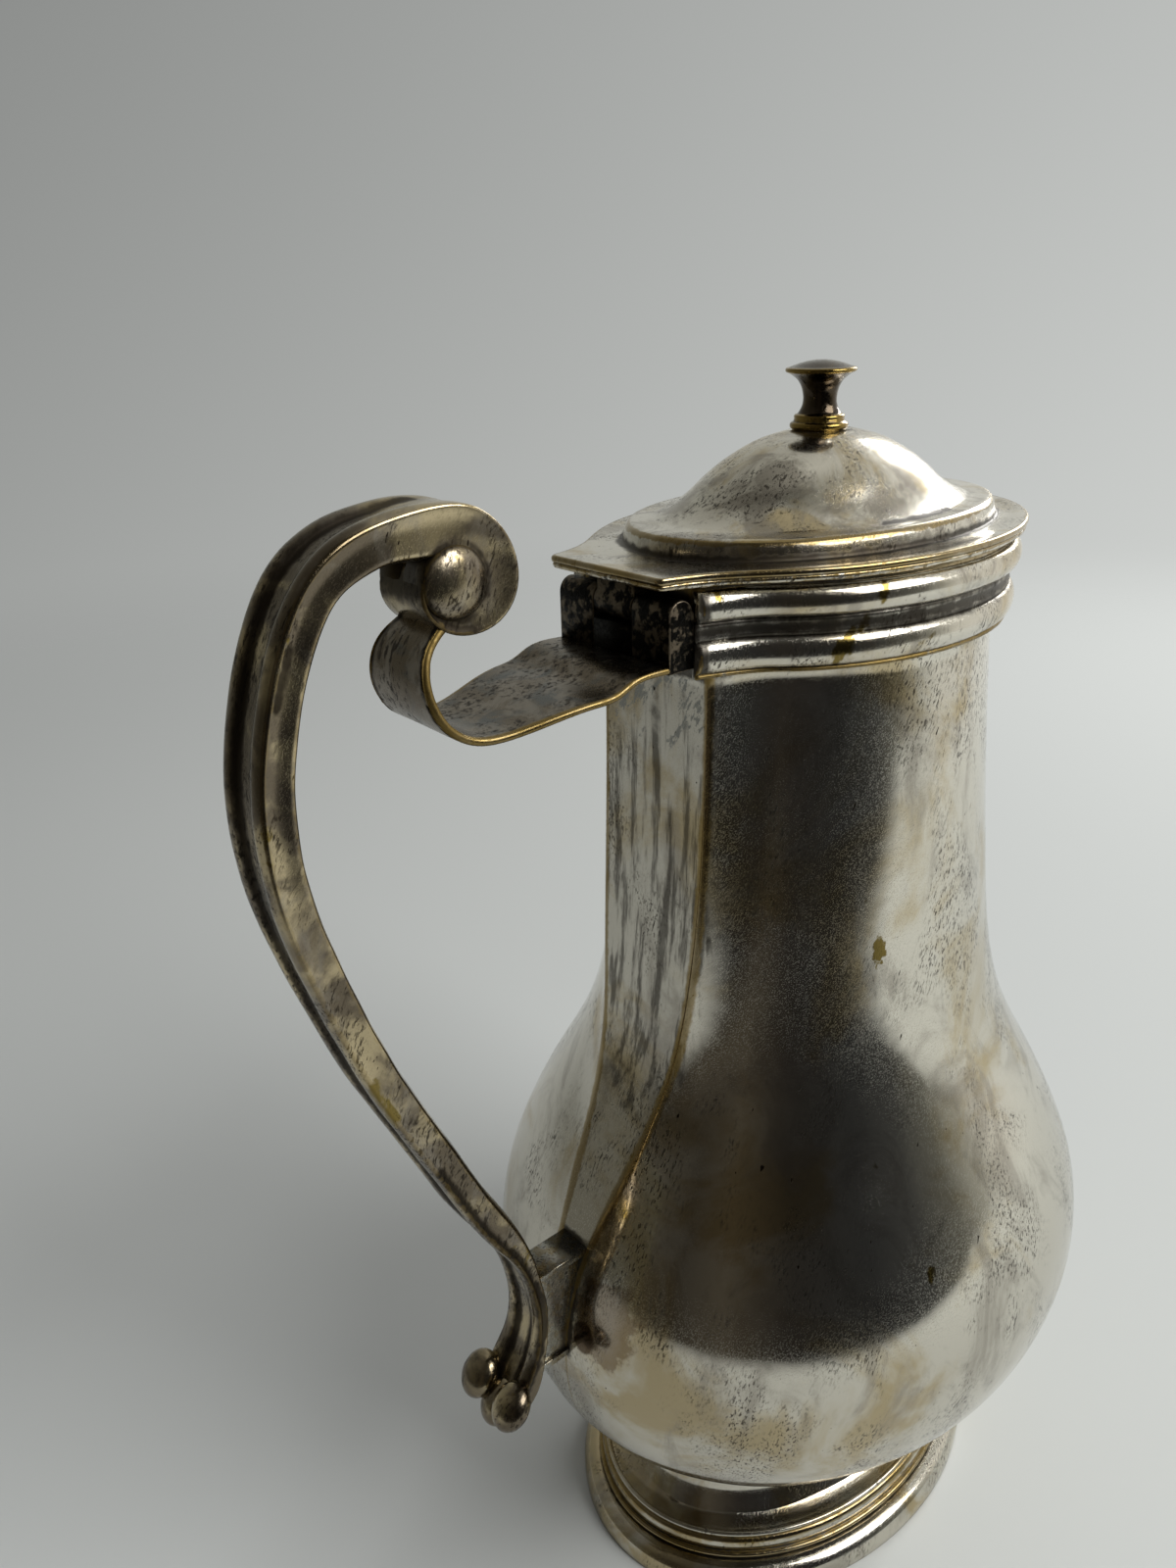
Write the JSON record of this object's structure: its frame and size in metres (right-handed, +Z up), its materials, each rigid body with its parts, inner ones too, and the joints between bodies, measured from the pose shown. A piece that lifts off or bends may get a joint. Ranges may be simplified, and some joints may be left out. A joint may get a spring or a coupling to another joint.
{
  "type": "barber's jug",
  "caption": "Oval baluster hot water jug in plated brass with a hinged domed lid and a scroll handle.",
  "frame": {"origin": "centre of the foot's underside, on the body's axis", "axes": "+Z up, -X towards the handle, +X towards the front"},
  "size_m": [0.1648, 0.1076, 0.2279],
  "materials": {
    "body_plate": "silver plate, polished and worn, tarnished in patches",
    "foot_plate": "silver plate, worn",
    "wire_plate": "silver plate worn to brass",
    "moulding_plate": "silver plate, tarnished in the grooves",
    "hinge_metal": "dark tarnished brass",
    "strap_plate": "silver plate, tarnished, edges worn to brass",
    "handle_plate": "cast and plated, tarnished",
    "socket_plate": "plated, with grey solder",
    "lid_plate": "silver plate, fine scratches and pits",
    "knob_metal": "dark tarnished plate with a brass edge"
  },
  "bodies": {
    "jug": {"body_shell": "body_plate", "body_base_disc": "body_plate", "foot_shell": "foot_plate", "foot_wire": "wire_plate", "neck_lower_bead": "moulding_plate", "neck_groove_band": "moulding_plate", "neck_upper_bead": "moulding_plate", "hinge_plate": "hinge_metal", "hinge_pin": "hinge_metal", "handle_strap": "strap_plate", "handle_scroll": "handle_plate", "handle_socket": "socket_plate"},
    "lid": {"lid_shell": "lid_plate", "lid_rim": "lid_plate", "lid_bezel": "moulding_plate", "lid_hinge_knuckle": "hinge_metal", "lid_knob": "knob_metal", "knob_washer": "hinge_metal", "knob_stud": "hinge_metal"}
  },
  "joints": [
    {"name": "lid_hinge", "type": "hinge", "parent": "jug", "child": "lid", "pos_m": [-0.042, 0, 0.1972], "axis": [0, -1, 0], "range_deg": [0, 105]}
  ]
}
